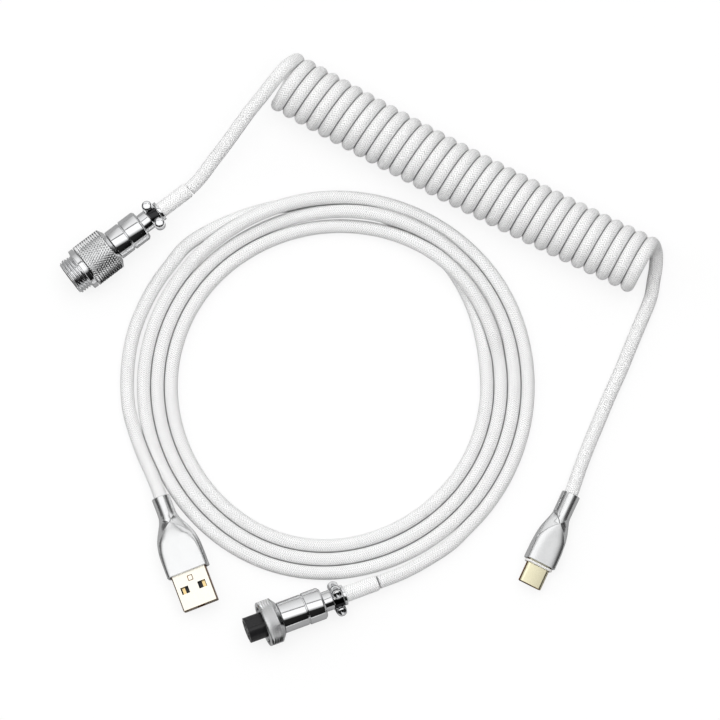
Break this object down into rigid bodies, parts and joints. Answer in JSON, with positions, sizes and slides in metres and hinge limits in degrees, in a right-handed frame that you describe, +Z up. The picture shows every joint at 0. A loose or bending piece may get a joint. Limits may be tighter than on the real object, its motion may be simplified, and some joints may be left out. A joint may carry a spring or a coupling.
{
  "type": "coiled usb cable",
  "caption": "Braided keyboard cable in separable leads, laid flat: a curly-coil lead with USB-C plug and threaded round socket, and a looped lead with USB-A plug and captive-nut round plug.",
  "frame": {"origin": "on the table, under the middle of the box around the four connectors", "axes": "+Z up from the table; +X to the right and +Y away, seen with the curly coil at the back; both leads lie flat"},
  "size_m": [0.1989, 0.1962, 0.0203],
  "materials": {
    "polished_steel": "polished bright metal",
    "satin_cast_metal": "satin silver",
    "pale_gold_plate": "pale gold plating",
    "contact_brass": "gold flash",
    "black_plastic": "satin black",
    "white_plastic": "white",
    "white_sleeve": "white shrink tube over braid",
    "white_braid": "fine white braid",
    "circuit_board": "solder mask"
  },
  "bodies": {
    "device_lead": {"socket_back_shell": "polished_steel", "socket_shrink_sleeve": "white_sleeve", "socket_knurled_sleeve": "polished_steel", "socket_threaded_nose": "polished_steel", "socket_insert": "black_plastic", "socket_pin_1": "contact_brass", "socket_pin_2": "contact_brass", "socket_pin_3": "contact_brass", "socket_pin_4": "contact_brass", "socket_pin_5": "contact_brass", "usb_c_housing": "satin_cast_metal", "usb_c_bezel": "white_plastic", "usb_c_shell": "pale_gold_plate", "usb_c_insulator": "black_plastic", "usb_c_contacts_upper": "contact_brass", "usb_c_contacts_lower": "contact_brass", "usb_c_board": "circuit_board", "device_lead_tail": "white_braid", "curly_coil": "white_braid", "device_lead_run": "white_braid"},
    "host_lead": {"plug_back_shell": "polished_steel", "plug_shrink_sleeve": "white_sleeve", "plug_front_body": "polished_steel", "plug_insert": "black_plastic", "plug_contact_1": "contact_brass", "plug_contact_2": "contact_brass", "plug_contact_3": "contact_brass", "plug_contact_4": "contact_brass", "plug_contact_5": "contact_brass", "usb_a_housing": "satin_cast_metal", "usb_a_shell": "pale_gold_plate", "usb_a_tongue": "black_plastic", "usb_a_contact_1": "contact_brass", "usb_a_contact_2": "contact_brass", "usb_a_contact_3": "contact_brass", "usb_a_contact_4": "contact_brass", "usb_a_board": "circuit_board", "host_lead_start": "white_braid", "host_lead_loops": "white_braid", "host_lead_end": "white_braid"},
    "socket_saddle": {"socket_clamp_saddle": "polished_steel"},
    "socket_screw_1": {"socket_clamp_screw_1": "polished_steel"},
    "socket_screw_2": {"socket_clamp_screw_2": "polished_steel"},
    "plug_saddle": {"plug_clamp_saddle": "polished_steel"},
    "plug_screw_1": {"plug_clamp_screw_1": "polished_steel"},
    "plug_screw_2": {"plug_clamp_screw_2": "polished_steel"},
    "slip_ring": {"nut_slip_ring": "polished_steel"},
    "nut": {"coupling_nut": "polished_steel"}
  },
  "joints": [
    {"name": "host_lead_lift", "type": "slide", "parent": "device_lead", "child": "host_lead", "axis": [0, 0, 1], "range_m": [0, 0.06]},
    {"name": "nut_slide", "type": "slide", "parent": "host_lead", "child": "slip_ring", "axis": [-0.9307, -0.3573, 0.0785], "range_m": [0, 0.0022]},
    {"name": "nut_spin", "type": "hinge", "parent": "slip_ring", "child": "nut", "pos_m": [-0.01583, -0.06887, 0.0077], "axis": [-0.9307, -0.3573, 0.0785], "continuous": true},
    {"name": "socket_saddle_lift", "type": "slide", "parent": "device_lead", "child": "socket_saddle", "axis": [-0.0418, -0.0315, 0.9986], "range_m": [0, 0.001]},
    {"name": "socket_screw_1_turn", "type": "hinge", "parent": "socket_saddle", "child": "socket_screw_1", "pos_m": [-0.05703, 0.06888, 0.01222], "axis": [-0.0418, -0.0315, 0.9986], "range_deg": [0, 900]},
    {"name": "socket_screw_2_turn", "type": "hinge", "parent": "socket_saddle", "child": "socket_screw_2", "pos_m": [-0.05282, 0.06329, 0.01222], "axis": [-0.0418, -0.0315, 0.9986], "range_deg": [0, 900]},
    {"name": "plug_saddle_lift", "type": "slide", "parent": "host_lead", "child": "plug_saddle", "axis": [0.2942, -0.6038, 0.7409], "range_m": [0, 0.001]},
    {"name": "plug_screw_1_turn", "type": "hinge", "parent": "plug_saddle", "child": "plug_screw_1", "pos_m": [0.00575, -0.06009, 0.0106], "axis": [0.2942, -0.6038, 0.7409], "range_deg": [0, 900]},
    {"name": "plug_screw_2_turn", "type": "hinge", "parent": "plug_saddle", "child": "plug_screw_2", "pos_m": [0.00728, -0.06508, 0.00593], "axis": [0.2942, -0.6038, 0.7409], "range_deg": [0, 900]}
  ],
  "couplings": [
    {"joint": "socket_screw_1_turn", "follows": "socket_saddle_lift", "rad_per_m": 15700},
    {"joint": "socket_screw_2_turn", "follows": "socket_saddle_lift", "rad_per_m": 15700},
    {"joint": "plug_screw_1_turn", "follows": "plug_saddle_lift", "rad_per_m": 15700},
    {"joint": "plug_screw_2_turn", "follows": "plug_saddle_lift", "rad_per_m": 15700}
  ]
}
